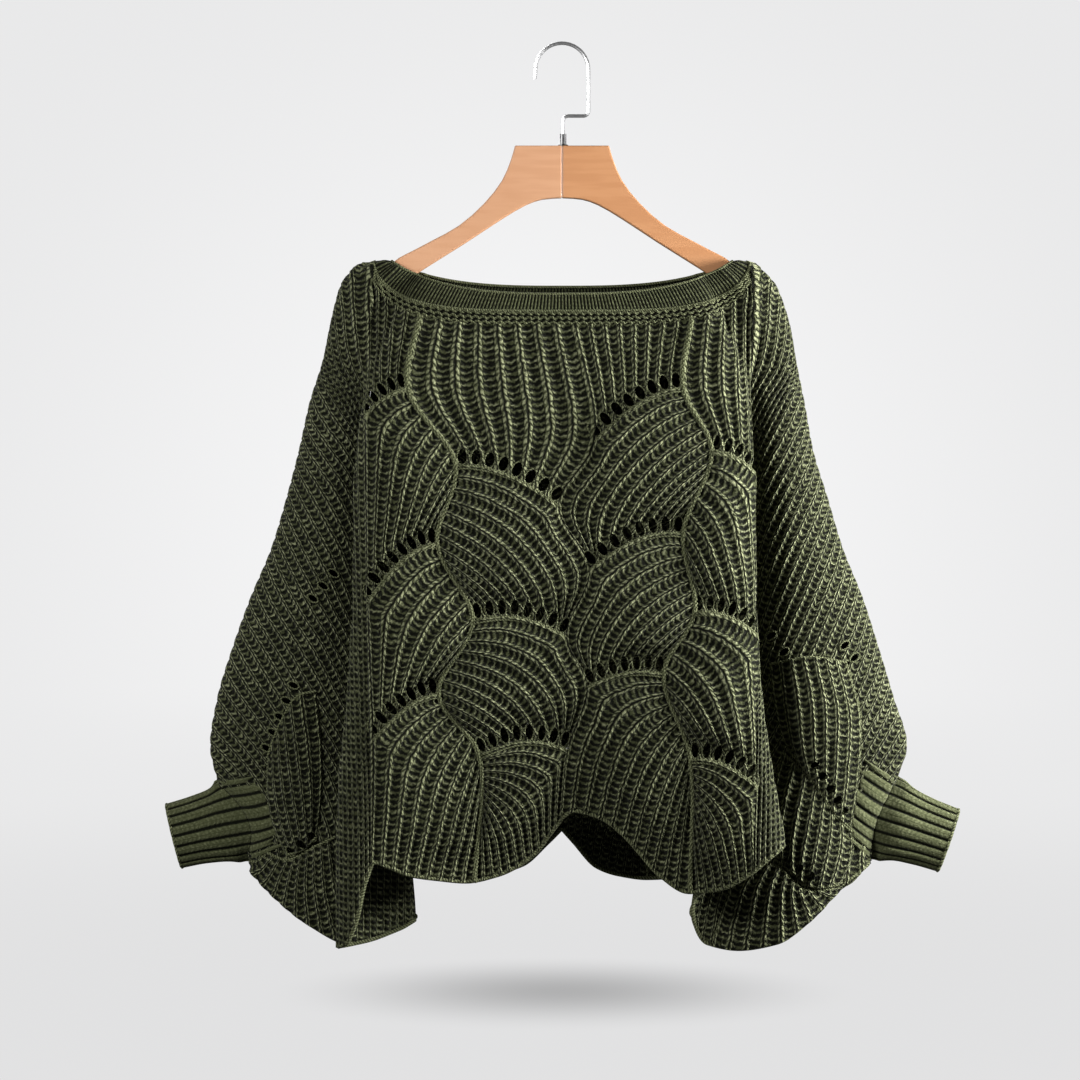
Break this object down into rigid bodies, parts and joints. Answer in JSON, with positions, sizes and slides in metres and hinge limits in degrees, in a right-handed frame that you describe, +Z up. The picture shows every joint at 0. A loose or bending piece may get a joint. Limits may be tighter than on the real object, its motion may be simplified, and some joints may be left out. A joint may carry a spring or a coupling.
{
  "type": "batwing sweater on a hanger",
  "caption": "Loose batwing sweater in open shell-pattern rib knit, with a wide boat neck, ribbed cuffs and a scalloped hem, hanging on a flat wooden hanger with a wire hook.",
  "frame": {"origin": "the point inside the hook's bend that rests on a rail", "axes": "+Z up, -Y to the sweater's front, +X to the viewer's right when seen from the front"},
  "size_m": [0.7925, 0.1567, 0.9066],
  "materials": {
    "knit": "chunky dark olive rib knit",
    "pale_wood": "smooth satin pale wood",
    "warm_wood": "smooth satin wood, a little warmer",
    "polished_wire": "polished wire"
  },
  "bodies": {
    "root": {"front": "knit", "back": "knit", "neckband": "knit", "cuff_left": "knit", "cuff_right": "knit", "hanger_arm_left": "pale_wood", "hanger_arm_right": "warm_wood", "hanger_hook": "polished_wire", "hanger_ferrule": "polished_wire"}
  },
  "joints": []
}
